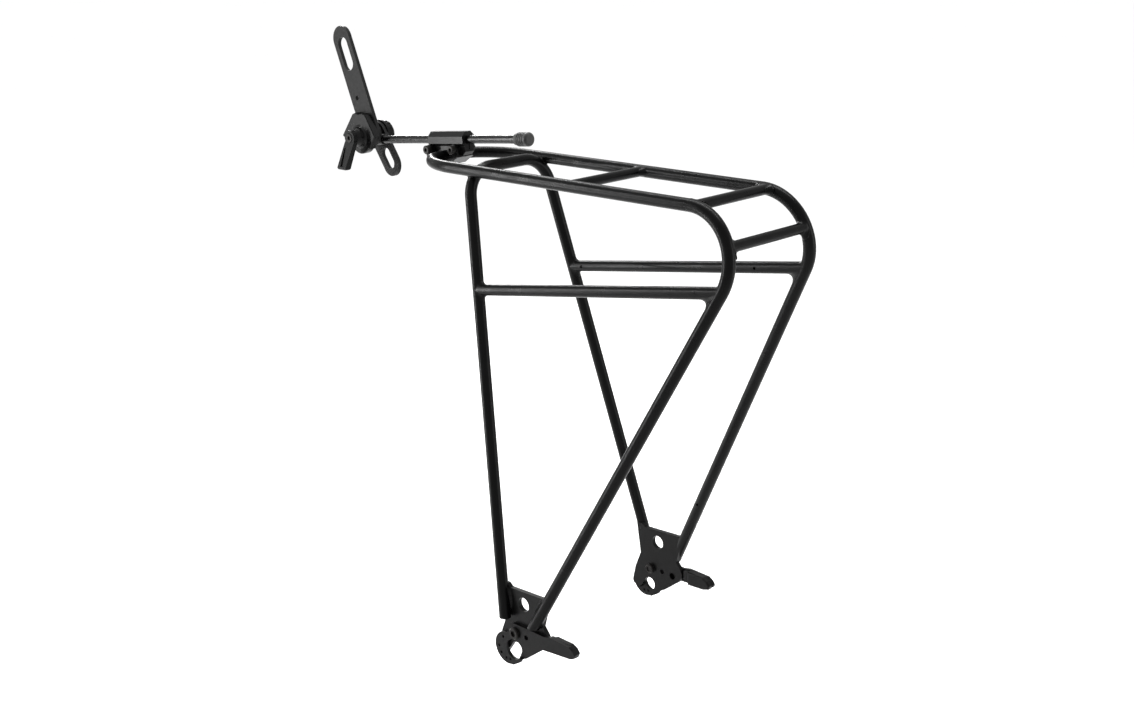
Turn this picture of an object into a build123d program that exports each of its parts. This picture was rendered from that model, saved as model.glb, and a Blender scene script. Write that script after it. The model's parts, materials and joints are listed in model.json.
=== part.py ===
from build123d import *
from math import atan, cos, radians, sin, sqrt, tan
import os

# Rear pannier rack with quick-release feet and an adjustable stay to the bicycle.
# Millimetres. +X to the back of the rack, +Y to the bicycle's right, +Z up.
# The origin is the middle of the wheel axle line that both foot hooks sit on.

# ---- main tubes ----
TUBE_R = 5.0
TUBE_WALL = 1.3
RAIL_R = 4.85
BAR_R = 4.2
BAR_WALL = 1.1
DECK_Z = 393.3
DECK_HALF = 43.0
REAR_LEG_FOOT_X = 9.4
REAR_LEG_SLOPE = 0.5365
REAR_SPLAY = 0.128
REAR_BEND_R = 40.5
FRONT_LEG_FOOT_X = -1.3
FRONT_LEG_SLOPE = 0.2161
FRONT_SPLAY = 0.134
HOOP_CORNER_R = 26.0
HOOP_RISE = 0.5
LEG_END_Z = 29.0
RAIL_DROP = 96.3
RAIL_SLOPE = 0.1505

# ---- front of the deck loop ----
BAR_X = -160.2
BAR_HALF = 10.5
NOSE_R = 22.0
NOSE_TURN = 50.0
SHOULDER_R = 64.0

# ---- cross bars ----
MIDDLE_BAR_X = 29.9
REAR_BAR_PAST = 4.6
BEND_BAR_ANGLE = 69.0
RUN_ON = 15.0

# ---- drain holes ----
DRAIN_R = 1.3
RAIL_DRAIN_X = (-50.0, 143.0)
LEG_DRAIN_Z = 98.0

# ---- foot plates ----
PLATE_INSET = 5.13
PLATE_T = 4.0
PLATE_TOP_Z = 56.0
SLOT_HALF = 6.0
SLOT_LEAN = 27.0
SLOT_FLARE = 8.0
LIGHTENING_X = 10.0
LIGHTENING_Z = 44.0
LIGHTENING_R = 6.3
STOP_HOLE_X = 15.2
STOP_HOLE_Z = 16.4
STOP_HOLE_R = 2.3
REAR_HOLE_X = 27.4
REAR_HOLE_Z = 15.8
REAR_HOLE_R = 3.2

# ---- lock levers ----
PIVOT_X = 1.7
PIVOT_Z = 16.2
PIVOT_R = 2.5
RUNNING = 0.05
FACE_GAP = 0.1
LEVER_T = 3.0
LEVER_BOSS_R = 8.3
LEVER_TOP_Z = 24.8
RING_X = -9.0
RING_Z = -1.4
RING_R = 14.6
RING_HOLE_X = -0.6
RING_HOLE_R = 9.0
RING_PIN_R = 1.3
RING_PIN_IN = 4.6
RING_PIN_ANGLES = (117.0, 186.0, 222.0, 262.0, 291.0)
MOUTH_FRONT_X = 7.2
MOUTH_BACK_X = 12.8
BOLT_HEAD_R = 5.2
BOLT_HEAD_H = 2.6
BOLT_SOCKET_AF = 5.0
NUT_R = 4.4
NUT_H = 3.4
GRIP_FRONT_X = 40.5
GRIP_RIB_BACK_X = 46.0
GRIP_BACK_X = 71.6
GRIP_T = 5.2

# ---- stay rod and its clamp, in the clamp's own frame (bar centre = origin) ----
ROD_PITCH = 5.15
ROD_LIFT = 13.8
ROD_R = 3.7
ROD_FRONT = -97.0
ROD_BACK = 102.0
CAP_FRONT = 89.0
CAP_BACK = 105.5
CAP_R = 6.0
CAP_COLLAR_R = 5.0
CAP_COLLAR_L = 3.5
CAP_RIBS = 4
SLEEVE_FRONT = -19.4
SLEEVE_BACK = 27.2
SLEEVE_FLATS = 14.6
BODY_HALF_Y = 5.2
BODY_BOTTOM = 0.4
BODY_BACK = 24.0
BAR_FIT = 0.03
SCREW_S = 16.5
SCREW_H = 6.0
SCREW_R = 2.0
SCREW_HEAD_R = 3.9
SCREW_HEAD_H = 4.2
SCREW_SOCKET_AF = 3.2
SCREW_TAIL = 5.0
NUT_AF = 7.0
CLAMP_NUT_H = 3.6
JAW_HALF_Y = 9.4
JAW_BOTTOM = -7.2
JAW_EAR_R = 4.3
JAW_END = 20.8
JAW_FLAT = 9.0
SLIT = 1.0
JAW_GAP = 0.2

# ---- stay head, about the hub axis (along Y) ----
HUB_S = -108.6
HUB_RISE = 4.4
HUB_R = 3.0
EYE_R = 9.5
EYE_HALF = 5.0
NECK_R = 5.2
NECK_END = 17.5
NECK_SOCKET = 11.0
ARM_T = 3.4
ARM_GAP = 0.15
LONG_ARM_LEAN = 22.5
LONG_ARM_SIDE = 7.7
LONG_ARM_TIP = 103.0
LONG_ARM_W = 24.4
LONG_SLOT_W = 13.4
LONG_SLOT_NEAR = 61.0
LONG_SLOT_FAR = 92.6
LONG_HOLE_SIDE = 5.0
LONG_HOLE_AT = 35.0
LONG_HOLE_R = 2.2
SHORT_ARM_ANGLE = 35.0
SHORT_ARM_TIP = 43.5
SHORT_ARM_W = 22.6
SHORT_SLOT_W = 11.0
SHORT_SLOT_NEAR = 15.5
SHORT_SLOT_FAR = 36.5
TOOTH_START = 14.0
TOOTH_PITCH = 2.2
TOOTH_DEPTH = 0.35
JAW_T = 6.6
JAW_ROUND_R = 16.0
DRUM_FRONT_R = 6.9
DRUM_BACK_R = 11.2
DRUM_L = 7.5
LEVER_HUB_R = 6.9
LEVER_HUB_L = 4.2
LEVER_TOP_W = 13.6
LEVER_END_W = 12.0
LEVER_END_T = 7.0
LEVER_GROOVE_W = 6.0
LEVER_GROOVE_DEEP = 1.6
LEVER_HANDLE = 29.0
LEVER_FLARE = 16.0
AXLE_HEAD_R = 4.1
AXLE_HEAD_H = 1.6
KNOB_R = 12.8
KNOB_BRIM = 2.2
KNOB_DOME_R = 11.4
KNOB_H = 11.0
KNOB_FLUTES = 14
KNOB_FLUTE_R = 1.5


# ---- shared shapes ----
def bent_path(points, radii):
    """Straight runs between the points, with a round bend of the given radius at each inner point."""
    edges = []
    start = Vector(*points[0])
    for index in range(1, len(points) - 1):
        corner = Vector(*points[index])
        back = (Vector(*points[index - 1]) - corner).normalized()
        ahead = (Vector(*points[index + 1]) - corner).normalized()
        half = radians(back.get_angle(ahead)) / 2
        middle = (back + ahead).normalized()
        reach = radii[index - 1] / tan(half)
        centre = corner + middle * (radii[index - 1] / sin(half))
        edges.append(Line(start, corner + back * reach))
        crown = centre - middle * radii[index - 1]
        edges.append(ThreePointArc(corner + back * reach, crown, corner + ahead * reach))
        start = corner + ahead * reach
    edges.append(Line(start, Vector(*points[-1])))
    return Wire([edge.edge() for edge in edges])


def swept(path, radius):
    """A round solid that follows a path."""
    return sweep(Plane(origin=path @ 0, z_dir=path % 0) * Circle(radius), path=path)


def cylinder(start, end, radius):
    """A round bar between two points."""
    first = Vector(*start)
    span = Vector(*end) - first
    return extrude(Plane(origin=first, z_dir=span.normalized()) * Circle(radius), amount=span.length)


def slab(sketch, y_low, y_high):
    """A sketch in X and Z, given a thickness along Y."""
    return Pos(0, y_high, 0) * extrude(Plane.XZ * sketch, amount=y_high - y_low)


def disc(x, z, radius, y_low, y_high):
    """A round slab whose axis runs along Y."""
    return slab(Pos(x, z) * Circle(radius), y_low, y_high)


def outline(*points):
    """A filled outline through the points."""
    return make_face(Polyline(*points, close=True))


def hexagon(across_flats):
    """A filled hexagon."""
    return RegularPolygon(across_flats / sqrt(3), 6)


def longest_of(part):
    """The largest of the pieces a tube falls into when it is cut to the tubes it meets."""
    return part.solids().sort_by(SortBy.VOLUME)[-1]


def right_of(part):
    """The same piece on the other side of the bicycle."""
    return mirror(part, about=Plane.XZ)


def rear_leg_x(z):
    """Centre line of the rear legs, from the side."""
    return REAR_LEG_FOOT_X + z * REAR_LEG_SLOPE


def rear_leg_y(z):
    """Half-width across the rear legs, which spread towards the feet."""
    return DECK_HALF + (DECK_Z - z) * REAR_SPLAY


def front_leg_x(z):
    """Centre line of the front legs, from the side."""
    return FRONT_LEG_FOOT_X - z * FRONT_LEG_SLOPE


def front_leg_y(z):
    """Half-width across the front legs, which spread a little more."""
    return DECK_HALF + (DECK_Z - z) * FRONT_SPLAY


# ---- the deck loop, which is also both rear legs ----
nose_turn = radians(NOSE_TURN)
nose_y = BAR_HALF + NOSE_R * tan(nose_turn / 2)
shoulder_x = BAR_X + (DECK_HALF - nose_y) * tan(nose_turn)
leg_low = LEG_END_Z - 20
rear_corner_x = rear_leg_x(DECK_Z)
half_loop = [
    (rear_leg_x(leg_low), -rear_leg_y(leg_low), leg_low),
    (rear_corner_x, -DECK_HALF, DECK_Z),
    (shoulder_x, -DECK_HALF, DECK_Z),
    (BAR_X, -nose_y, DECK_Z),
]
loop_points = half_loop + [(x, -y, z) for x, y, z in reversed(half_loop)]
loop_radii = [REAR_BEND_R, SHOULDER_R, NOSE_R, NOSE_R, SHOULDER_R, REAR_BEND_R]
loop_path = bent_path(loop_points, loop_radii)
loop_full = swept(loop_path, TUBE_R)
below_legs = Pos(0, 0, LEG_END_Z - 100) * Box(900, 400, 200)
loop_tube = loop_full - swept(loop_path, TUBE_R - TUBE_WALL) - below_legs

# ---- the front hoop: both front legs and the arch between the deck rails ----
arch_z = DECK_Z + HOOP_RISE
half_hoop = [
    (front_leg_x(leg_low), -front_leg_y(leg_low), leg_low),
    (front_leg_x(arch_z), -front_leg_y(arch_z), arch_z),
]
hoop_points = half_hoop + [(x, -y, z) for x, y, z in reversed(half_hoop)]
hoop_path = bent_path(hoop_points, [HOOP_CORNER_R, HOOP_CORNER_R])
hoop_full = swept(hoop_path, TUBE_R)
hoop_tube = hoop_full - swept(hoop_path, TUBE_R - TUBE_WALL) - below_legs - loop_full


# ---- cross bars between the deck rails, and the lower side rails ----
def cross_bar(x, z):
    """A thinner tube across the loop, shaped to the tubes it meets."""
    reach = rear_leg_y(z) + RUN_ON
    outer = cylinder((x, -reach, z), (x, reach, z), BAR_R)
    bore = cylinder((x, -reach, z), (x, reach, z), BAR_R - BAR_WALL)
    return longest_of(outer - bore - loop_full)


leg_angle = atan(sqrt(1 + REAR_SPLAY**2) / REAR_LEG_SLOPE)
bend_centre_x = rear_corner_x - REAR_BEND_R / tan(leg_angle / 2)
bend_bar_x = bend_centre_x + REAR_BEND_R * sin(radians(BEND_BAR_ANGLE))
bend_bar_z = DECK_Z - REAR_BEND_R * (1 - cos(radians(BEND_BAR_ANGLE))) / sqrt(1 + REAR_SPLAY**2)
middle_bar = cross_bar(MIDDLE_BAR_X, DECK_Z)
rear_bar = cross_bar(bend_centre_x + REAR_BAR_PAST, DECK_Z)
bend_bar = cross_bar(bend_bar_x, bend_bar_z)


rail_front_z = DECK_Z - RAIL_DROP
rail_front_x = front_leg_x(rail_front_z)
rail_level_z = rail_front_z - rail_front_x * RAIL_SLOPE
rail_back_x = rear_leg_x(rail_level_z) / (1 - RAIL_SLOPE * REAR_LEG_SLOPE)
rail_back_z = rail_level_z + rail_back_x * RAIL_SLOPE
rail_front = Vector(rail_front_x, -front_leg_y(rail_front_z), rail_front_z)
rail_back = Vector(rail_back_x, -rear_leg_y(rail_back_z), rail_back_z)
rail_way = (rail_back - rail_front).normalized()
rail_start = rail_front - rail_way * RUN_ON
rail_end = rail_back + rail_way * RUN_ON
left_rail = cylinder(rail_start, rail_end, RAIL_R) - cylinder(rail_start, rail_end, RAIL_R - TUBE_WALL)
left_rail = longest_of(left_rail - loop_full - hoop_full)
for drain_x in RAIL_DRAIN_X:
    drain = rail_front + rail_way * ((drain_x - rail_front_x) / rail_way.X)
    left_rail = left_rail - disc(drain.X, drain.Z, DRAIN_R, drain.Y, drain.Y + 2 * TUBE_R)
leg_y = rear_leg_y(LEG_DRAIN_Z)
leg_drain = disc(rear_leg_x(LEG_DRAIN_Z), LEG_DRAIN_Z, DRAIN_R, -leg_y, -leg_y + 2 * TUBE_R)
loop_tube = loop_tube - leg_drain - right_of(leg_drain)

# ---- foot plates: flat, upright, and let into the inner side of the leg ends ----
plate_y = rear_leg_y(LEG_END_Z) - PLATE_INSET
plate_out = -plate_y - PLATE_T / 2
plate_in = -plate_y + PLATE_T / 2
lean = radians(SLOT_LEAN)
flare = radians(SLOT_LEAN + SLOT_FLARE)
slot_side = Vector(cos(lean), -sin(lean)) * SLOT_HALF
slot_low = Vector(-sin(lean), -cos(lean)) * 30
slot_low_front = Vector(-sin(flare), -cos(flare)) * 30
plate_face = outline(
    (front_leg_x(PLATE_TOP_Z) - 2.0, PLATE_TOP_Z + 1.5),
    (front_leg_x(LEG_END_Z) - 3.5, LEG_END_Z - 1.0),
    (-17.8, 12.0),
    (-21.0, -1.8),
    (-20.2, -4.6),
    (-15.0, -8.2),
    (0.5, -10.4),
    (3.6, -10.2),
    (6.8, -8.4),
    (19.3, 0.6),
    (35.7, 13.2),
    (38.6, 17.0),
    (38.8, 21.0),
    (37.0, 24.8),
    (rear_leg_x(LEG_END_Z) + 7.0, LEG_END_Z + 2.0),
    (rear_leg_x(PLATE_TOP_Z) + 1.0, PLATE_TOP_Z + 2.8),
    (rear_leg_x(PLATE_TOP_Z) - 7.0, PLATE_TOP_Z + 0.8),
    (front_leg_x(PLATE_TOP_Z) + 7.5, PLATE_TOP_Z - 1.2),
    (front_leg_x(PLATE_TOP_Z) + 4.2, PLATE_TOP_Z + 1.5),
)
slot_cut = Circle(SLOT_HALF) + outline(
    (slot_side.X, slot_side.Y),
    (-slot_side.X, -slot_side.Y),
    (slot_low_front.X - slot_side.X, slot_low_front.Y - slot_side.Y),
    (slot_low.X + slot_side.X, slot_low.Y + slot_side.Y),
)
plate_face = plate_face - slot_cut
plate_face = plate_face - Pos(LIGHTENING_X, LIGHTENING_Z) * Circle(LIGHTENING_R)
plate_face = plate_face - Pos(STOP_HOLE_X, STOP_HOLE_Z) * Circle(STOP_HOLE_R)
plate_face = plate_face - Pos(REAR_HOLE_X, REAR_HOLE_Z) * Circle(REAR_HOLE_R)
plate_face = plate_face - Pos(PIVOT_X, PIVOT_Z) * Circle(PIVOT_R)
left_plate = slab(plate_face, plate_out, plate_in)
right_plate = right_of(left_plate)
loop_tube = longest_of(loop_tube - left_plate - right_plate)
hoop_tube = longest_of(hoop_tube - left_plate - right_plate)

# ---- lock levers: a hook ring under the axle line and a tail to pull down ----
lever_in = plate_out - FACE_GAP
lever_out = lever_in - LEVER_T
body = outline(
    (PIVOT_X, LEVER_TOP_Z),
    (36.5, LEVER_TOP_Z),
    (44.0, 26.4),
    (65.5, 25.6),
    (69.6, 23.0),
    (72.0, 19.8),
    (71.0, 17.2),
    (66.7, 15.4),
    (35.0, 12.2),
    (14.6, -3.4),
    (MOUTH_BACK_X, -4.4),
    (MOUTH_BACK_X, 8.0),
    (-12.0, 10.0),
)
lip = outline(
    (RING_X, RING_Z),
    (RING_X + 4.5, RING_Z - 13.9),
    (-1.5, -15.0),
    (6.2, -10.2),
    (MOUTH_FRONT_X, -7.6),
    (5.0, -2.0),
)
boss = Pos(PIVOT_X, PIVOT_Z) * Circle(LEVER_BOSS_R)
lever_face = boss + Pos(RING_X, RING_Z) * Circle(RING_R) + body + lip
mouth = outline(
    (RING_HOLE_X, -3.0),
    (MOUTH_FRONT_X - 1.2, -5.6),
    (MOUTH_FRONT_X + 0.4, -7.6),
    (MOUTH_FRONT_X + 1.0, -20.0),
    (MOUTH_BACK_X, -20.0),
    (MOUTH_BACK_X, 2.0),
    (MOUTH_BACK_X - 3.0, 5.0),
    (RING_HOLE_X, 5.0),
)
lever_face = lever_face - Pos(RING_HOLE_X, 0) * Circle(RING_HOLE_R) - mouth
lever_face = lever_face - Pos(PIVOT_X, PIVOT_Z) * Circle(PIVOT_R + RUNNING)
lever_face = lever_face - Pos(STOP_HOLE_X, STOP_HOLE_Z) * Circle(STOP_HOLE_R)
for angle in RING_PIN_ANGLES:
    pin_x = RING_X + (RING_R - RING_PIN_IN) * cos(radians(angle))
    pin_z = RING_Z + (RING_R - RING_PIN_IN) * sin(radians(angle))
    lever_face = lever_face - Pos(pin_x, pin_z) * Circle(RING_PIN_R)
left_lever = slab(lever_face, lever_out, lever_in)

# ---- lever grips: moulded onto the inner face of the tails, with a narrow front band ----
grip_in = lever_in + GRIP_T
band_face = outline(
    (GRIP_FRONT_X, 14.4), (GRIP_FRONT_X, 24.9), (GRIP_RIB_BACK_X, 25.5), (GRIP_RIB_BACK_X, 14.8)
)
grip_face = outline(
    (GRIP_RIB_BACK_X, 26.2),
    (63.5, 26.0),
    (68.6, 23.8),
    (GRIP_BACK_X, 19.8),
    (69.8, 16.0),
    (64.0, 14.2),
    (GRIP_RIB_BACK_X, 13.2),
)
left_grip = slab(grip_face, lever_in, grip_in)
left_grip = fillet(left_grip.faces().sort_by(Axis.Y)[-1].outer_wire().edges(), 1.6)
left_grip = left_grip + slab(band_face, lever_in, grip_in - 1.6)

# ---- pivot bolts and their round nuts ----
head_out = lever_out - FACE_GAP - BOLT_HEAD_H
nut_in = plate_in + NUT_H
left_bolt = disc(PIVOT_X, PIVOT_Z, BOLT_HEAD_R, head_out, lever_out - FACE_GAP)
left_bolt = chamfer(left_bolt.edges().sort_by(Axis.Y)[0], 0.8)
left_bolt = left_bolt + disc(PIVOT_X, PIVOT_Z, PIVOT_R, lever_out - FACE_GAP, nut_in - 0.8)
left_bolt = left_bolt - slab(Pos(PIVOT_X, PIVOT_Z) * hexagon(BOLT_SOCKET_AF), head_out, head_out + 1.8)
left_nut = disc(PIVOT_X, PIVOT_Z, NUT_R, plate_in, nut_in)
left_nut = chamfer(left_nut.edges().sort_by(Axis.Y)[-1], 0.7)
left_nut = left_nut - disc(PIVOT_X, PIVOT_Z, PIVOT_R, plate_in, nut_in)

# ---- stay rod with its rubber cap, in the clamp's frame ----
clamp_frame = Pos(BAR_X, 0, DECK_Z) * Rot(0, -ROD_PITCH, 0)
rod = cylinder((ROD_FRONT, 0, ROD_LIFT), (ROD_BACK, 0, ROD_LIFT), ROD_R)
rod = chamfer(rod.edges().sort_by(Axis.X)[0], 0.5)
cap = cylinder((CAP_FRONT, 0, ROD_LIFT), (CAP_FRONT + CAP_COLLAR_L, 0, ROD_LIFT), CAP_COLLAR_R)
cap_body = cylinder((CAP_FRONT + CAP_COLLAR_L, 0, ROD_LIFT), (CAP_BACK, 0, ROD_LIFT), CAP_R)
cap_body = fillet(cap_body.edges().sort_by(Axis.X)[-1], 2.2)
rib_pitch = (CAP_BACK - CAP_FRONT - CAP_COLLAR_L - 4.5) / CAP_RIBS
for rib in range(CAP_RIBS):
    rib_x = CAP_FRONT + CAP_COLLAR_L + 1.5 + rib * rib_pitch
    groove = cylinder((rib_x, 0, ROD_LIFT), (rib_x + rib_pitch * 0.45, 0, ROD_LIFT), CAP_R + 1)
    groove = groove - cylinder((rib_x, 0, ROD_LIFT), (rib_x + rib_pitch * 0.45, 0, ROD_LIFT), CAP_R - 0.5)
    cap_body = cap_body - groove
cap = cap + cap_body - cylinder((CAP_FRONT, 0, ROD_LIFT), (ROD_BACK, 0, ROD_LIFT), ROD_R)

# ---- rod clamp: eight-sided sleeve and saddle above the bar, eared jaw below it ----
sleeve_l = SLEEVE_BACK - SLEEVE_FRONT


def eight_sided(flats):
    """The sleeve's eight-sided bar, with the given distance between flats."""
    octagon = RegularPolygon(flats / 2, 8, major_radius=False, rotation=22.5)
    return Pos(SLEEVE_FRONT, 0, ROD_LIFT) * extrude(Plane.YZ * octagon, amount=sleeve_l)


body_face = outline(
    (SLEEVE_FRONT, ROD_LIFT),
    (SLEEVE_FRONT, BODY_BOTTOM + 2.0),
    (SLEEVE_FRONT + 2.0, BODY_BOTTOM),
    (BODY_BACK, BODY_BOTTOM),
    (SLEEVE_BACK, BODY_BOTTOM + 3.0),
    (SLEEVE_BACK, ROD_LIFT),
)
block = eight_sided(SLEEVE_FLATS) + slab(body_face, -BODY_HALF_Y, BODY_HALF_Y)
block = block - cylinder((-60, 0, ROD_LIFT), (60, 0, ROD_LIFT), ROD_R + RUNNING)
block = block - disc(0, 0, TUBE_R + BAR_FIT, -20, 20)
slit_height = ROD_LIFT - TUBE_R
block = block - Pos(4, 0, TUBE_R + slit_height / 2) * Box(sleeve_l + 20, SLIT, slit_height)
jaw_face = outline(
    (-JAW_END, BODY_BOTTOM - JAW_GAP),
    (-JAW_END, -1.0),
    (-JAW_FLAT, JAW_BOTTOM),
    (JAW_FLAT, JAW_BOTTOM),
    (JAW_END, -1.0),
    (JAW_END, BODY_BOTTOM - JAW_GAP),
)
jaw = slab(jaw_face, -JAW_HALF_Y, JAW_HALF_Y)
ear_low = BODY_HALF_Y + JAW_GAP
for ear_s in (-SCREW_S, SCREW_S):
    ear_face = Pos(ear_s, SCREW_H) * Circle(JAW_EAR_R)
    ear_face = ear_face + Pos(ear_s, SCREW_H / 2 - 0.5) * Rectangle(2 * JAW_EAR_R, SCREW_H + 1.0)
    jaw = jaw + slab(ear_face, -JAW_HALF_Y, -ear_low) + slab(ear_face, ear_low, JAW_HALF_Y)
jaw = jaw - disc(0, 0, TUBE_R + BAR_FIT, -20, 20) - eight_sided(SLEEVE_FLATS + 2 * JAW_GAP)
screws = None
nuts = None
for screw_s in (-SCREW_S, SCREW_S):
    hole = disc(screw_s, SCREW_H, SCREW_R, -20, 20)
    block = block - hole
    jaw = jaw - hole
    head_front = -JAW_HALF_Y - SCREW_HEAD_H
    head = disc(screw_s, SCREW_H, SCREW_HEAD_R, head_front, -JAW_HALF_Y)
    head = chamfer(head.edges().sort_by(Axis.Y)[0], 0.5)
    screw = head + disc(screw_s, SCREW_H, SCREW_R, -JAW_HALF_Y, JAW_HALF_Y + SCREW_TAIL)
    screw = screw - slab(Pos(screw_s, SCREW_H) * hexagon(SCREW_SOCKET_AF), head_front, -JAW_HALF_Y - 1.6)
    nut = slab(Pos(screw_s, SCREW_H) * hexagon(NUT_AF), JAW_HALF_Y, JAW_HALF_Y + CLAMP_NUT_H)
    nut = nut - disc(screw_s, SCREW_H, SCREW_R, JAW_HALF_Y, JAW_HALF_Y + CLAMP_NUT_H)
    screws = screw if screws is None else Compound(children=[screws, screw])
    nuts = nut if nuts is None else Compound(children=[nuts, nut])

# ---- stay eye: a flat eye on the hub axis with a neck that takes the rod ----
eye = disc(HUB_S, ROD_LIFT + HUB_RISE, EYE_R, -EYE_HALF, EYE_HALF)
neck = cylinder((HUB_S, 0, ROD_LIFT), (HUB_S + NECK_END, 0, ROD_LIFT), NECK_R)
neck = chamfer(neck.edges().sort_by(Axis.X)[-1], 0.7)
eye = eye + neck.intersect(disc(HUB_S, ROD_LIFT, 40, -EYE_HALF, EYE_HALF))
eye = eye - disc(HUB_S, ROD_LIFT + HUB_RISE, HUB_R, -20, 20)
eye = eye - cylinder((HUB_S + NECK_SOCKET, 0, ROD_LIFT), (HUB_S + 40, 0, ROD_LIFT), ROD_R + RUNNING)

# ---- everything else on the hub is drawn about the hub and then put in place ----
hub_frame = clamp_frame * Pos(HUB_S, 0, ROD_LIFT + HUB_RISE) * Rot(0, ROD_PITCH, 0)


def slotted_arm(width, tip, near, far, slot_width, y_low, side=0.0):
    """A flat arm standing up from the hub, with a long slot near its end; side sets it off to one side."""
    blade = Pos(side, (tip - width / 2) / 2) * Rectangle(width, tip - width / 2)
    blade = blade + Pos(side / 2, 0) * Circle(width / 2) + Pos(side, 0) * Circle(width / 2)
    blade = blade + Pos(side, tip - width / 2) * Circle(width / 2)
    slot = Pos(side, near + slot_width / 2) * Circle(slot_width / 2)
    slot = slot + Pos(side, far - slot_width / 2) * Circle(slot_width / 2)
    slot = slot + Pos(side, (near + far) / 2) * Rectangle(slot_width, far - near - slot_width)
    return slab(blade - slot - Circle(HUB_R + RUNNING), y_low, y_low + ARM_T)


long_low = -EYE_HALF - ARM_GAP - ARM_T
long_arm = slotted_arm(
    LONG_ARM_W, LONG_ARM_TIP, LONG_SLOT_NEAR, LONG_SLOT_FAR, LONG_SLOT_W, long_low, LONG_ARM_SIDE
)
long_arm = long_arm - disc(LONG_HOLE_SIDE, LONG_HOLE_AT, LONG_HOLE_R, long_low, long_low + ARM_T)
long_arm = Rot(0, -LONG_ARM_LEAN, 0) * long_arm

short_low = EYE_HALF + ARM_GAP
short_arm = slotted_arm(
    SHORT_ARM_W, SHORT_ARM_TIP, SHORT_SLOT_NEAR, SHORT_SLOT_FAR, SHORT_SLOT_W, short_low
)
tooth_count = int((SHORT_ARM_TIP - TOOTH_START) / TOOTH_PITCH)
tooth_box = Rot(45, 0, 0) * Box(SHORT_ARM_W + 2, TOOTH_DEPTH * 1.4, TOOTH_DEPTH * 1.4)
for tooth in range(tooth_count):
    short_arm = short_arm - Pos(0, short_low, TOOTH_START + tooth * TOOTH_PITCH) * tooth_box
short_arm = Rot(0, 180 - SHORT_ARM_ANGLE, 0) * short_arm

jaw_back = long_low - ARM_GAP
jaw_front = jaw_back - JAW_T
stay_jaw_face = outline(
    (-26.5, -1.2),
    (-9.5, 20.0),
    (-5.0, 21.6),
    (0.0, 20.4),
    (5.5, 21.6),
    (9.5, 20.6),
    (22.5, 2.0),
    (14.0, -10.5),
    (-12.5, -10.0),
)
stay_jaw = slab(stay_jaw_face + Circle(JAW_ROUND_R), jaw_front, jaw_back)
stay_jaw = chamfer(stay_jaw.faces().sort_by(Axis.Y)[0].outer_wire().edges(), 0.7)
stay_jaw = stay_jaw - disc(0, 0, HUB_R, -60, 60)

drum_profile = make_face(
    Polyline(
        (HUB_R, jaw_front),
        (DRUM_BACK_R, jaw_front),
        (DRUM_BACK_R - 2.0, jaw_front - 1.2),
        (DRUM_FRONT_R + 1.6, jaw_front - 4.0),
        (DRUM_FRONT_R, jaw_front - DRUM_L),
        (HUB_R, jaw_front - DRUM_L),
        close=True,
    )
)
drum = revolve(drum_profile, Axis.Y)

# ---- clamping lever: a ring on the hub screw with a hanging, outward-leaning handle ----
ring_in = jaw_front - DRUM_L - ARM_GAP
ring_out = ring_in - LEVER_HUB_L
lever_ring = disc(0, 0, LEVER_HUB_R, ring_out, ring_in)
ring_middle = (ring_in + ring_out) / 2
lever_flare = LEVER_HANDLE * tan(radians(LEVER_FLARE))
handle_top = Pos(0, ring_middle, -3.5) * Rectangle(LEVER_TOP_W, LEVER_HUB_L)
handle_end = Pos(-3.5, ring_middle - lever_flare, -LEVER_HANDLE) * Rectangle(LEVER_END_W, LEVER_END_T)
handle = loft([handle_top.face(), handle_end.face()])
handle = fillet(handle.edges().sort_by(Axis.Z)[:4], 2.0)
groove_y = ring_middle - lever_flare * 0.6 - LEVER_END_T * 0.42
groove = Pos(-2.2, groove_y, -LEVER_HANDLE * 0.6) * Rot(-LEVER_FLARE - 3, 0, 0)
hand_lever = lever_ring + handle - groove * Box(LEVER_GROOVE_W, 2 * LEVER_GROOVE_DEEP, LEVER_HANDLE * 0.62)
hand_lever = hand_lever - disc(0, 0, HUB_R + RUNNING, -60, 60)
hand_lever = hand_lever - disc(0, 0, AXLE_HEAD_R + 0.3, -60, ring_out + 1.2)

# ---- hub screw and far knob ----
axle_out = ring_out + 1.0
axle_in = short_low + ARM_T + 7.0
axle = disc(0, 0, AXLE_HEAD_R, axle_out - AXLE_HEAD_H, axle_out) + disc(0, 0, HUB_R, axle_out, axle_in)
axle = axle - slab(hexagon(3.4), axle_out - AXLE_HEAD_H, axle_out + 1.0)
knob_in = short_low + ARM_T + ARM_GAP
knob_profile = make_face(
    Polyline(
        (0, knob_in),
        (KNOB_R, knob_in),
        (KNOB_R, knob_in + KNOB_BRIM),
        (KNOB_DOME_R, knob_in + KNOB_BRIM + 1.0),
        (KNOB_DOME_R, knob_in + KNOB_H - 3.0),
        (KNOB_DOME_R - 3.4, knob_in + KNOB_H),
        (0, knob_in + KNOB_H),
        close=True,
    )
)
knob = revolve(knob_profile, Axis.Y)
for flute in range(KNOB_FLUTES):
    angle = radians(flute * 360 / KNOB_FLUTES)
    flute_x = (KNOB_DOME_R + 0.6) * cos(angle)
    flute_z = (KNOB_DOME_R + 0.6) * sin(angle)
    knob = knob - disc(flute_x, flute_z, KNOB_FLUTE_R, knob_in + KNOB_BRIM + 1.0, knob_in + KNOB_H + 1)
knob = knob - disc(0, 0, HUB_R, knob_in, axle_in)

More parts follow.
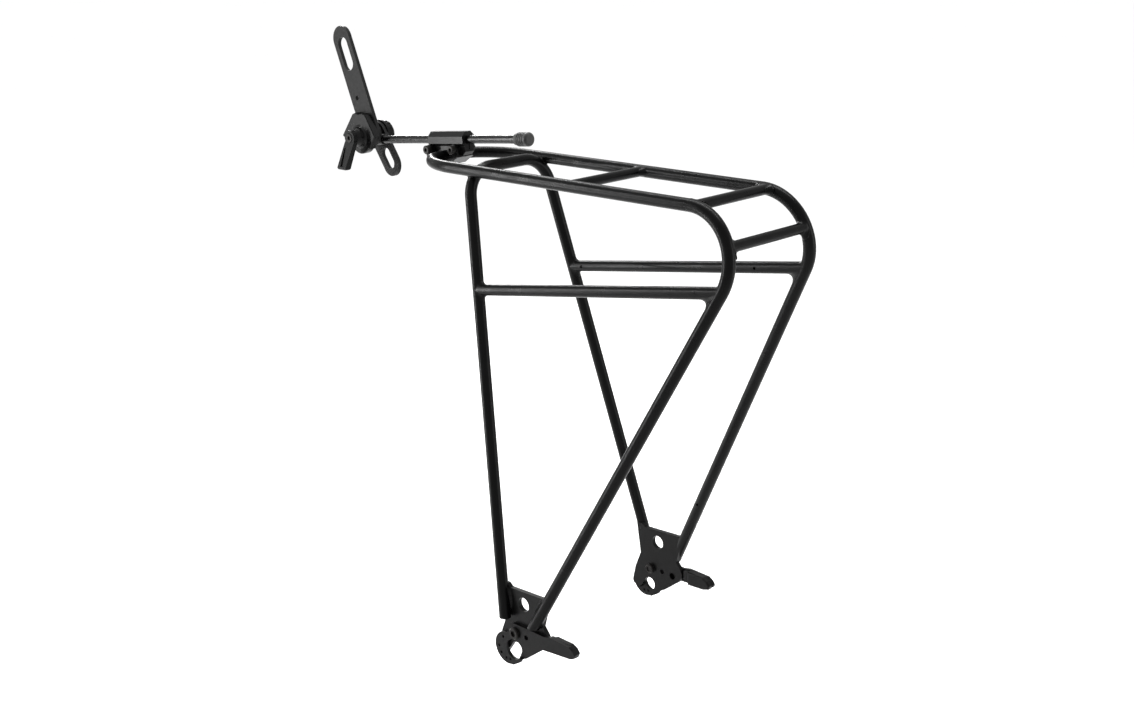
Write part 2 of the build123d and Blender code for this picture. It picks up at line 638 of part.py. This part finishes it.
nodes = {
    "main_loop_tube": loop_tube,
    "front_hoop_tube": hoop_tube,
    "cross_bar_middle": middle_bar,
    "cross_bar_rear": rear_bar,
    "cross_bar_bend": bend_bar,
    "left_lower_rail": left_rail,
    "right_lower_rail": right_of(left_rail),
    "left_foot_plate": left_plate,
    "right_foot_plate": right_plate,
    "left_lock_lever": left_lever,
    "right_lock_lever": right_of(left_lever),
    "left_lever_grip": left_grip,
    "right_lever_grip": right_of(left_grip),
    "left_pivot_bolt": left_bolt,
    "right_pivot_bolt": right_of(left_bolt),
    "left_pivot_nut": left_nut,
    "right_pivot_nut": right_of(left_nut),
    "rod_clamp_block": clamp_frame * block,
    "rod_clamp_jaw": clamp_frame * jaw,
    "rod_clamp_screws": clamp_frame * screws,
    "rod_clamp_nuts": clamp_frame * nuts,
    "stay_rod": clamp_frame * rod,
    "rod_end_cap": clamp_frame * cap,
    "stay_eye": clamp_frame * eye,
    "stay_jaw": hub_frame * stay_jaw,
    "long_stay_arm": hub_frame * long_arm,
    "short_stay_arm": hub_frame * short_arm,
    "clamp_drum": hub_frame * drum,
    "clamp_hand_lever": hub_frame * hand_lever,
    "hub_screw": hub_frame * axle,
    "hub_knob": hub_frame * knob,
}

os.makedirs("parts", exist_ok=True)
for name, shape in nodes.items():
    export_step(shape, f"parts/{name}.step")
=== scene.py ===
import json
from math import atan, cos, hypot, pi, radians, sin, sqrt, tan

import bmesh
import bpy
from mathutils import Matrix, Vector


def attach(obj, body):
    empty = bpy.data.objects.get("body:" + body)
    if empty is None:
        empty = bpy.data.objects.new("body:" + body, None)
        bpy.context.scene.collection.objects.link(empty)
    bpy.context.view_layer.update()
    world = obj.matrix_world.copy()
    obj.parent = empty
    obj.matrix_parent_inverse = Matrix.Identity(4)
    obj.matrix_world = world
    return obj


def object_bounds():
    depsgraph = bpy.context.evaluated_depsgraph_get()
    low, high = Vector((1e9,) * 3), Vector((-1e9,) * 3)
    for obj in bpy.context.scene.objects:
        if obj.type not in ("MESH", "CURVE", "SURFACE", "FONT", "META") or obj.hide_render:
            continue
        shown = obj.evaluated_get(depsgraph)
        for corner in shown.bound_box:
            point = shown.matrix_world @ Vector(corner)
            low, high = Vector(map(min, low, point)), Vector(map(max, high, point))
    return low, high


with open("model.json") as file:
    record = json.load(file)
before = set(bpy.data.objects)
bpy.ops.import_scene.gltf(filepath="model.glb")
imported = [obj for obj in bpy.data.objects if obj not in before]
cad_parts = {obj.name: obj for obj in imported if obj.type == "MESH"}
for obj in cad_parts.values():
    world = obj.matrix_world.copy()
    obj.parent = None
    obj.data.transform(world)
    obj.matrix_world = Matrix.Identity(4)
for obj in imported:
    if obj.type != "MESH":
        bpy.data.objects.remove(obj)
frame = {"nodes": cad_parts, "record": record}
cad_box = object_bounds()
MM = 0.001

# ---- sizes shared with the solids, in millimetres ----
TUBE_R = 5.0
RAIL_R = 4.85
BAR_R = 4.2
DECK_Z = 393.3
DECK_HALF = 43.0
REAR_LEG_FOOT_X = 9.4
REAR_LEG_SLOPE = 0.5365
REAR_SPLAY = 0.128
REAR_BEND_R = 40.5
FRONT_LEG_FOOT_X = -1.3
FRONT_LEG_SLOPE = 0.2161
FRONT_SPLAY = 0.134
HOOP_CORNER_R = 26.0
HOOP_RISE = 0.5
LEG_END_Z = 29.0
PLATE_TOP_Z = 56.0
PLATE_OUT = 86.5
PLATE_IN = 82.5
RAIL_FRONT_Z = 297.0
RAIL_SLOPE = 0.1505
MIDDLE_BAR_X = 29.9
REAR_BAR_PAST = 4.6
BEND_BAR_ANGLE = 69.0

# ---- welds, in millimetres ----
FILLET_R = 5.4
FILLET_MAX = 11.5
FILLET_STEPS = 7
FILLET_LIFT = 0.12
SUNK = 0.12
RIPPLE_PITCH = 1.4
RIPPLE_DEPTH = 0.05
REAR_BAR_TUBE_FALL = 0.08
CORNER_REACH = 6.0
CORNER_SEARCH = 9.0
CORNER_HALVINGS = 24
FOOT_OUTER_REACH = 4.2
FOOT_INNER_REACH = 2.2
FOOT_INNER_LENGTH = 3.0
FOOT_END_GAP = 2.0
FOOT_LEG_SHARE = 0.75
FOOT_RIM_SHARE = 0.98
FOOT_TIP_SHARE = 0.03
FOOT_TIP_POWER = 6
FOOT_RIPPLE_PITCH = 2.2
FOOT_RIPPLE = 0.28
FOOT_RIPPLE_WIDTH = 0.1

# ---- materials ----
NOISE_LOW = 0.3
NOISE_HIGH = 0.7
GRAIN_ROUGHNESS = 0.55
COAT_ROUGHNESS = 0.25
PLASTIC_CELL_MM = 0.55
RUBBER_SHEEN = 0.15

# ---- camera, floor and light: places and sizes in metres, powers in watts, angles in degrees ----
VIEW_AZIMUTH = 45.218
VIEW_ELEVATION = 16.920
VIEW_ROLL = -1.307
VIEW_PLACE = (0.8211, -0.8336, 0.5969)
LENS_MM = 46.19
SENSOR_MM = 36.0
FLOOR_DROP = 0.12
FLOOR_HALF = 40.0
FLOOR_CELLS = 8
STRIPS = (
    # name, place, width, height, power
    ("top_strip", (-0.15, 0.35, 1.6), 1.5, 0.12, 20.0),
    ("back_strip", (-1.3, 0.75, 0.9), 0.1, 1.0, 12.0),
    ("left_strip", (-1.05, -0.95, 0.45), 0.08, 1.3, 26.0),
    ("right_strip", (1.4, 0.75, 0.5), 0.08, 1.2, 8.0),
)
SUN_WAY = (-0.35, 0.15, 1.0)
SUN_STRENGTH = 0.35
SUN_SPREAD = 32.0
WORLD_COLOUR = (1.0, 1.0, 1.0, 1.0)
WORLD_STRENGTH = 0.98


# ---- materials ----
class Finish:
    """A procedural material: one Principled shader with its own colour, gloss and grain nodes."""

    def __init__(self, name, colour, roughness, metallic=0.0, specular=0.07, coat=0.0):
        self.material = bpy.data.materials.new(name)
        self.material.use_nodes = True
        self.tree = self.material.node_tree
        self.shader = self.tree.nodes["Principled BSDF"]
        self.shader.inputs["Base Color"].default_value = (*colour, 1.0)
        self.shader.inputs["Roughness"].default_value = roughness
        self.shader.inputs["Metallic"].default_value = metallic
        self.shader.inputs["Specular IOR Level"].default_value = specular
        self.shader.inputs["Coat Weight"].default_value = coat
        self.shader.inputs["Coat Roughness"].default_value = COAT_ROUGHNESS
        self.coordinates = self.tree.nodes.new("ShaderNodeTexCoord").outputs["Object"]
        self.normal = None

    def node(self, kind, **values):
        """A new node with some of its inputs set; From_Min stands for the input From Min."""
        made = self.tree.nodes.new(kind)
        for key, value in values.items():
            made.inputs[key.replace("_", " ")].default_value = value
        return made

    def link(self, output, socket):
        self.tree.links.new(output, socket)

    def stretched(self, scale):
        """Object coordinates, scaled along each axis."""
        mapping = self.node("ShaderNodeMapping", Scale=scale)
        self.link(self.coordinates, mapping.inputs["Vector"])
        return mapping.outputs["Vector"]

    def noise(self, size_mm, detail=3.0, roughness=GRAIN_ROUGHNESS, stretch=(1.0, 1.0, 1.0)):
        """A noise whose lumps are about size_mm across."""
        scale = 1.0 / (size_mm * MM)
        noise = self.node("ShaderNodeTexNoise", Scale=scale, Detail=detail, Roughness=roughness)
        self.link(self.stretched(stretch), noise.inputs["Vector"])
        return noise.outputs["Fac"]

    def vary_colour(self, value, dark, light):
        """Base colour between two colours by a noise."""
        ramp = self.tree.nodes.new("ShaderNodeValToRGB")
        ramp.color_ramp.elements[0].color = (*dark, 1.0)
        ramp.color_ramp.elements[1].color = (*light, 1.0)
        ramp.color_ramp.elements[0].position = NOISE_LOW
        ramp.color_ramp.elements[1].position = NOISE_HIGH
        self.link(value, ramp.inputs["Fac"])
        self.link(ramp.outputs["Color"], self.shader.inputs["Base Color"])

    def vary_gloss(self, value, low, high):
        """Roughness between two values by a noise, and held there."""
        limits = {"From_Min": NOISE_LOW, "From_Max": NOISE_HIGH, "To_Min": low, "To_Max": high}
        spread = self.node("ShaderNodeMapRange", **limits)
        self.link(value, spread.inputs["Value"])
        self.link(spread.outputs["Result"], self.shader.inputs["Roughness"])

    def bump(self, value, height_mm, strength):
        """Adds relief of up to about height_mm to what is there."""
        node = self.node("ShaderNodeBump", Strength=strength, Distance=height_mm * MM)
        self.link(value, node.inputs["Height"])
        if self.normal is not None:
            self.link(self.normal, node.inputs["Normal"])
        self.normal = node.outputs["Normal"]
        self.link(self.normal, self.shader.inputs["Normal"])


def powder_coat(name, tone, gloss):
    """Satin powder coat: soft orange peel, an uneven tone and patchy gloss."""
    finish = Finish(name, (tone, tone, tone * 1.05), gloss)
    finish.vary_colour(finish.noise(9.0, detail=4.0), (tone * 0.8,) * 3, (tone * 1.3, tone * 1.3, tone * 1.36))
    finish.vary_gloss(finish.noise(14.0, detail=5.0, roughness=0.6), gloss - 0.05, gloss + 0.07)
    finish.bump(finish.noise(1.6, detail=2.0), height_mm=0.05, strength=0.5)
    finish.bump(finish.noise(0.35, detail=2.0), height_mm=0.02, strength=0.35)
    return finish.material


def black_steel(name, tone, gloss):
    """Black oxide on turned steel: a faint warm cast, fine tool marks and rubbed spots."""
    finish = Finish(name, (tone, tone, tone), gloss, metallic=0.35)
    finish.vary_colour(finish.noise(2.5, detail=5.0), (tone * 0.7,) * 3, (tone * 1.7, tone * 1.6, tone * 1.5))
    finish.vary_gloss(finish.noise(1.2, detail=4.0), gloss - 0.08, gloss + 0.1)
    marks = finish.noise(0.5, detail=3.0, roughness=0.6, stretch=(1.0, 4.0, 1.0))
    finish.bump(marks, height_mm=0.02, strength=0.4)
    return finish.material


def anodised(name, tone, gloss):
    """Bead-blasted, anodised alloy: very fine even grain under a thin hard film."""
    finish = Finish(name, (tone, tone, tone * 1.04), gloss, coat=0.12)
    light = (tone * 1.25, tone * 1.25, tone * 1.3)
    finish.vary_colour(finish.noise(6.0, detail=4.0), (tone * 0.85,) * 3, light)
    finish.vary_gloss(finish.noise(5.0, detail=5.0, roughness=0.6), gloss - 0.04, gloss + 0.07)
    finish.bump(finish.noise(0.3, detail=3.0, roughness=0.65), height_mm=0.02, strength=0.55)
    return finish.material


def drawn_rod(name, tone, gloss):
    """Smooth black rod with faint marks along its length where it slides."""
    finish = Finish(name, (tone, tone, tone), gloss, coat=0.2)
    marks = finish.noise(1.1, detail=4.0, roughness=0.6, stretch=(0.05, 1.0, 1.0))
    finish.vary_colour(finish.noise(10.0), (tone * 0.85,) * 3, (tone * 1.3,) * 3)
    finish.vary_gloss(marks, gloss - 0.05, gloss + 0.09)
    finish.bump(marks, height_mm=0.012, strength=0.4)
    return finish.material


def stamped_arm(name, tone, gloss):
    """Matte coated sheet steel: dry grain and slight unevenness from stamping."""
    finish = Finish(name, (tone, tone, tone), gloss)
    finish.vary_colour(finish.noise(4.0, detail=5.0, roughness=0.6), (tone * 0.8,) * 3, (tone * 1.35,) * 3)
    finish.vary_gloss(finish.noise(3.0, detail=4.0), gloss - 0.06, gloss + 0.1)
    finish.bump(finish.noise(0.6, detail=4.0, roughness=0.6), height_mm=0.035, strength=0.6)
    finish.bump(finish.noise(7.0, detail=2.0), height_mm=0.06, strength=0.35)
    return finish.material


def moulded_plastic(name, tone, gloss):
    """Moulded plastic: spark-eroded grain and shinier rubbed patches."""
    finish = Finish(name, (tone, tone, tone), gloss)
    cells = finish.node("ShaderNodeTexVoronoi", Scale=1.0 / (PLASTIC_CELL_MM * MM))
    finish.link(finish.stretched((1.0, 1.0, 1.0)), cells.inputs["Vector"])
    finish.vary_colour(finish.noise(7.0, detail=4.0), (tone * 0.8,) * 3, (tone * 1.3, tone * 1.3, tone * 1.32))
    finish.vary_gloss(finish.noise(8.0), gloss - 0.07, gloss + 0.08)
    finish.bump(cells.outputs["Distance"], height_mm=0.03, strength=0.5)
    return finish.material


def rubber(name, tone, gloss):
    """Dull rubber with a dusty bloom."""
    finish = Finish(name, (tone, tone, tone), gloss, specular=0.35)
    finish.shader.inputs["Sheen Weight"].default_value = RUBBER_SHEEN
    bloom = finish.noise(5.0, detail=5.0, roughness=0.65)
    finish.vary_colour(bloom, (tone * 0.75,) * 3, (tone * 1.5, tone * 1.5, tone * 1.45))
    finish.vary_gloss(finish.noise(4.0, detail=4.0), gloss - 0.08, gloss + 0.08)
    finish.bump(finish.noise(0.8, detail=4.0, roughness=0.6), height_mm=0.04, strength=0.6)
    return finish.material


def pale_floor():
    """Pale studio floor with a barely visible mottling."""
    finish = Finish("pale_floor", (0.93, 0.93, 0.93), 0.9, specular=0.1)
    finish.vary_colour(finish.noise(400.0), (0.925, 0.925, 0.927), (0.94, 0.94, 0.94))
    return finish.material


FINISHES = {
    "frame_paint": powder_coat("frame_paint", tone=0.0016, gloss=0.30),
    "plate_paint": powder_coat("plate_paint", tone=0.0022, gloss=0.34),
    "lever_black": powder_coat("lever_black", tone=0.0026, gloss=0.36),
    "grip_plastic": moulded_plastic("grip_plastic", tone=0.003, gloss=0.42),
    "bolt_black": black_steel("bolt_black", tone=0.010, gloss=0.32),
    "clamp_black": anodised("clamp_black", tone=0.0022, gloss=0.32),
    "rod_black": drawn_rod("rod_black", tone=0.0016, gloss=0.26),
    "cap_rubber": rubber("cap_rubber", tone=0.005, gloss=0.55),
    "arm_black": stamped_arm("arm_black", tone=0.009, gloss=0.44),
    "knob_plastic": moulded_plastic("knob_plastic", tone=0.003, gloss=0.4),
}


def set_material(obj, slot):
    obj.data.materials.clear()
    obj.data.materials.append(FINISHES[slot])


slot_of = {part["node"]: part["material_slot"] for part in frame["record"]["subparts"]}
for node_name, node_object in frame["nodes"].items():
    set_material(node_object, slot_of[node_name])


# ---- mesh helpers: points come in millimetres ----
def new_piece(name, rings, closed, body, slot):
    """A smooth skin over rings of points; an open one gets a face at each end."""
    mesh = bmesh.new()
    levels = [[mesh.verts.new(point * MM) for point in ring] for ring in rings]
    count = len(rings[0])
    pairs = list(zip(levels, levels[1:]))
    if closed:
        pairs.append((levels[-1], levels[0]))
    for low, high in pairs:
        for index in range(count):
            after = (index + 1) % count
            mesh.faces.new((low[index], low[after], high[after], high[index]))
    if not closed:
        for ring in (levels[0], levels[-1]):
            mesh.faces.new(ring)
    bmesh.ops.recalc_face_normals(mesh, faces=mesh.faces)
    for face in mesh.faces:
        face.smooth = True
    data = bpy.data.meshes.new(name)
    mesh.to_mesh(data)
    mesh.free()
    piece = bpy.data.objects.new(name, data)
    bpy.context.scene.collection.objects.link(piece)
    set_material(piece, slot)
    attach(piece, body)


def mirrored(points):
    return [Vector((point.x, -point.y, point.z)) for point in points]


def weld_both_sides(name, rings, closed=True):
    """A weld worked out for the left side, and its mirror image on the right."""
    new_piece("left_" + name, rings, closed, "frame", "frame_paint")
    new_piece("right_" + name, [mirrored(ring) for ring in rings], closed, "frame", "frame_paint")


def hollow_curve(start, corner, end, ripple):
    """A weld's hollow face between two surfaces, closed behind through the corner they make."""
    middle = (start + end) / 2
    control = corner.lerp(middle, FILLET_LIFT + ripple)
    curve = []
    for step in range(FILLET_STEPS):
        share = step / (FILLET_STEPS - 1)
        curve.append(start * (1 - share) ** 2 + control * 2 * share * (1 - share) + end * share**2)
    return curve + [corner + (corner - middle).normalized() * SUNK]


def on_tube(point, tube_point, tube_way, radius):
    """The nearest point to a given one at some radius about a tube's centre line."""
    gap = point - tube_point
    along = tube_way * gap.dot(tube_way)
    return tube_point + along + (gap - along).normalized() * radius


def end_weld(bar_start, bar_way, bar_radius, tube_point, tube_way, tube_radius, steps=144):
    """The hollow weld round a bar's end, where the bar, going along bar_way, first meets a tube."""
    bar_way = bar_way.normalized()
    tube_way = tube_way.normalized()
    across = bar_way.orthogonal().normalized()
    third = bar_way.cross(across)
    flat_way = bar_way - tube_way * bar_way.dot(tube_way)
    rings = []
    for step in range(steps):
        turn = 2 * pi * step / steps
        outward = across * cos(turn) + third * sin(turn)
        start = bar_start + outward * bar_radius
        gap = start - tube_point
        gap = gap - tube_way * gap.dot(tube_way)
        half = gap.dot(flat_way) / flat_way.length_squared
        rest = (gap.length_squared - tube_radius**2) / flat_way.length_squared
        corner = start + bar_way * (-half - sqrt(max(0.0, half * half - rest)))
        normal = (corner - on_tube(corner, tube_point, tube_way, 0.0)).normalized()
        away = (outward - normal * outward.dot(normal)).normalized()
        reach = min(FILLET_MAX, FILLET_R / tan(away.angle(-bar_way) / 2))
        on_bar = corner - bar_way * reach - outward * SUNK
        beside = on_tube(corner + away * reach, tube_point, tube_way, tube_radius - SUNK)
        ripple = RIPPLE_DEPTH * ((turn * bar_radius / RIPPLE_PITCH) % 1.0)
        rings.append(hollow_curve(on_bar, corner, beside, ripple))
    return rings


def rear_leg(z):
    """A point on the left rear leg's centre line."""
    return Vector((REAR_LEG_FOOT_X + z * REAR_LEG_SLOPE, -DECK_HALF - (DECK_Z - z) * REAR_SPLAY, z))


def front_leg(z):
    """A point on the left front leg's centre line."""
    return Vector((FRONT_LEG_FOOT_X - z * FRONT_LEG_SLOPE, -DECK_HALF - (DECK_Z - z) * FRONT_SPLAY, z))


# ---- welds of the cross bars ----
leg_angle = atan(hypot(1, REAR_SPLAY) / REAR_LEG_SLOPE)
bend_x = rear_leg(DECK_Z).x - REAR_BEND_R / tan(leg_angle / 2)
turned = radians(BEND_BAR_ANGLE)
bend_fall = REAR_BEND_R * (1 - cos(turned)) / hypot(1, REAR_SPLAY)
bar_places = {
    "middle_bar_weld": (
        Vector((MIDDLE_BAR_X, 0, DECK_Z)),
        Vector((1, 0, 0)),
    ),
    "rear_bar_weld": (
        Vector((bend_x + REAR_BAR_PAST, 0, DECK_Z)),
        Vector((1, 0, -REAR_BAR_TUBE_FALL)),
    ),
    "bend_bar_weld": (
        Vector((bend_x + REAR_BEND_R * sin(turned), 0, DECK_Z - bend_fall)),
        Vector((cos(turned), 0, -sin(turned))),
    ),
}
for weld_name, (bar_middle, tube_way) in bar_places.items():
    tube_middle = Vector((bar_middle.x, rear_leg(bar_middle.z).y, bar_middle.z))
    weld_both_sides(weld_name, end_weld(bar_middle, Vector((0, -1, 0)), BAR_R, tube_middle, tube_way, TUBE_R))

# ---- welds of the lower rails ----
rail_front = front_leg(RAIL_FRONT_Z)
rail_level = RAIL_FRONT_Z - rail_front.x * RAIL_SLOPE
rail_back_x = (REAR_LEG_FOOT_X + rail_level * REAR_LEG_SLOPE) / (1 - RAIL_SLOPE * REAR_LEG_SLOPE)
rail_back = rear_leg(rail_level + rail_back_x * RAIL_SLOPE)
rail_middle = (rail_front + rail_back) / 2
rail_way = rail_back - rail_front
for weld_name, leg, way in (("rail_back_weld", rear_leg, rail_way), ("rail_front_weld", front_leg, -rail_way)):
    leg_way = leg(0) - leg(DECK_Z)
    weld_both_sides(weld_name, end_weld(rail_middle, way, RAIL_R, leg(DECK_Z), leg_way, TUBE_R))


# ---- welds where the front hoop's corners press against the deck rails ----
def corner_weld(steps=48):
    """The ring around the spot where the hoop's left corner touches the deck rail."""
    leg_end = front_leg(DECK_Z + HOOP_RISE)
    down = (front_leg(0) - leg_end).normalized()
    across = Vector((0, 1, 0))
    inward = (down + across).normalized()
    centre = leg_end + inward * (HOOP_CORNER_R / sin(down.angle(across) / 2))
    swing = (across - inward * across.dot(inward)).normalized()
    sideways = swing.cross(inward).normalized()
    deck_rail = Vector((centre.x, -DECK_HALF, DECK_Z))
    to_rail = deck_rail - centre
    touch_turn = to_rail.angle(-inward)
    if to_rail.dot(swing) < 0:
        touch_turn = -touch_turn

    def spot(way, reach, radius):
        """A point about the hoop's centre line, some way along its skin from where it touches."""
        turn = touch_turn + reach * cos(way) / HOOP_CORNER_R
        around = reach * sin(way) / TUBE_R
        outward = swing * sin(turn) - inward * cos(turn)
        return centre + outward * HOOP_CORNER_R + (outward * cos(around) + sideways * sin(around)) * radius

    rings = []
    for step in range(steps):
        way = 2 * pi * step / steps
        near, far = 0.0, CORNER_SEARCH
        for _ in range(CORNER_HALVINGS):
            reach = (near + far) / 2
            corner = spot(way, reach, TUBE_R)
            if hypot(corner.y + DECK_HALF, corner.z - DECK_Z) < TUBE_R:
                near = reach
            else:
                far = reach
        start = spot(way, reach + CORNER_REACH, TUBE_R - SUNK)
        end = on_tube(start, deck_rail, Vector((1, 0, 0)), TUBE_R - SUNK)
        ripple = RIPPLE_DEPTH * ((way * reach / RIPPLE_PITCH) % 1.0)
        rings.append(hollow_curve(start, corner, end, ripple))
    return rings


weld_both_sides("hoop_weld", corner_weld())


# ---- welds of the foot plates, in the corners inside each leg ----
def foot_weld(leg, inside, face, reach, low_z, high_z, steps=110):
    """A rippled weld between a leg and a face of its foot plate, on the side towards the other leg."""
    way = (leg(0) - leg(DECK_Z)).normalized()
    sideways = Vector((-way.z, 0, way.x)).normalized() * inside
    outward = 1 if face == PLATE_OUT else -1
    rim = FOOT_RIM_SHARE * TUBE_R
    rings = []
    for step in range(steps):
        share = step / (steps - 1)
        point = leg(low_z + (high_z - low_z) * share)
        depth = max(-rim, min(rim, face + point.y))
        corner = Vector((point.x, -face, point.z)) + sideways * sqrt(TUBE_R**2 - depth**2)
        grown = reach * sqrt(max(FOOT_TIP_SHARE, 1.0 - (2.0 * share - 1.0) ** FOOT_TIP_POWER))
        puddle = (share * (high_z - low_z) / FOOT_RIPPLE_PITCH) % 1.0
        width = grown * (1.0 - FOOT_RIPPLE_WIDTH * puddle)
        end = corner + sideways * width + Vector((0, outward * SUNK, 0))
        up_leg = corner + Vector((0, -outward * grown * FOOT_LEG_SHARE, 0))
        start = on_tube(up_leg, point, way, TUBE_R - SUNK)
        rings.append(hollow_curve(start, corner, end, FOOT_RIPPLE * puddle))
    return rings


low_z = LEG_END_Z + FOOT_END_GAP
high_z = PLATE_TOP_Z - FOOT_END_GAP
inner_z = high_z - FOOT_INNER_LENGTH
for leg_name, leg, inside in (("front", front_leg, 1), ("rear", rear_leg, -1)):
    outer = foot_weld(leg, inside, PLATE_OUT, FOOT_OUTER_REACH, low_z, high_z)
    inner = foot_weld(leg, inside, PLATE_IN, FOOT_INNER_REACH, inner_z, high_z)
    weld_both_sides(leg_name + "_leg_outer_weld", outer, closed=False)
    weld_both_sides(leg_name + "_leg_inner_weld", inner, closed=False)

# ---- camera ----
azimuth = radians(VIEW_AZIMUTH)
elevation = radians(VIEW_ELEVATION)
roll = radians(VIEW_ROLL)
back = Vector((sin(azimuth) * cos(elevation), -cos(azimuth) * cos(elevation), sin(elevation)))
right = Vector((cos(azimuth), sin(azimuth), 0))
up = back.cross(right)
camera_x = right * cos(roll) + up * sin(roll)
camera_y = up * cos(roll) - right * sin(roll)
camera_turn = Matrix((camera_x, camera_y, back)).transposed().to_4x4()
camera_data = bpy.data.cameras.new("camera")
camera_data.lens = LENS_MM
camera_data.sensor_width = SENSOR_MM
camera = bpy.data.objects.new("camera", camera_data)
camera.matrix_world = Matrix.Translation(VIEW_PLACE) @ camera_turn
bpy.context.scene.collection.objects.link(camera)
bpy.context.scene.camera = camera

# ---- floor ----
low_corner, high_corner = (Vector(corner) for corner in cad_box)
floor_mesh = bmesh.new()
bmesh.ops.create_grid(floor_mesh, x_segments=FLOOR_CELLS, y_segments=FLOOR_CELLS, size=FLOOR_HALF)
floor_data = bpy.data.meshes.new("floor")
floor_mesh.to_mesh(floor_data)
floor_mesh.free()
floor = bpy.data.objects.new("floor", floor_data)
floor.location = (0, 0, low_corner.z - FLOOR_DROP)
floor.data.materials.append(pale_floor())
bpy.context.scene.collection.objects.link(floor)


# ---- light ----
def soft_light(name, place, width, height, power, target):
    """A soft box that points at a target."""
    data = bpy.data.lights.new(name, "AREA")
    data.shape = "RECTANGLE"
    data.size = width
    data.size_y = height
    data.energy = power
    light = bpy.data.objects.new(name, data)
    light.location = place
    light.rotation_euler = (target - Vector(place)).to_track_quat("-Z", "Y").to_euler()
    bpy.context.scene.collection.objects.link(light)


for strip in STRIPS:
    soft_light(*strip, target=(low_corner + high_corner) / 2)
sun_data = bpy.data.lights.new("overhead", "SUN")
sun_data.energy = SUN_STRENGTH
sun_data.angle = radians(SUN_SPREAD)
sun = bpy.data.objects.new("overhead", sun_data)
sun.rotation_euler = Vector(SUN_WAY).to_track_quat("Z", "Y").to_euler()
bpy.context.scene.collection.objects.link(sun)
world = bpy.data.worlds.new("studio")
world.use_nodes = True
world.node_tree.nodes["Background"].inputs["Color"].default_value = WORLD_COLOUR
world.node_tree.nodes["Background"].inputs["Strength"].default_value = WORLD_STRENGTH
bpy.context.scene.world = world
bpy.context.scene.view_settings.view_transform = "Standard"
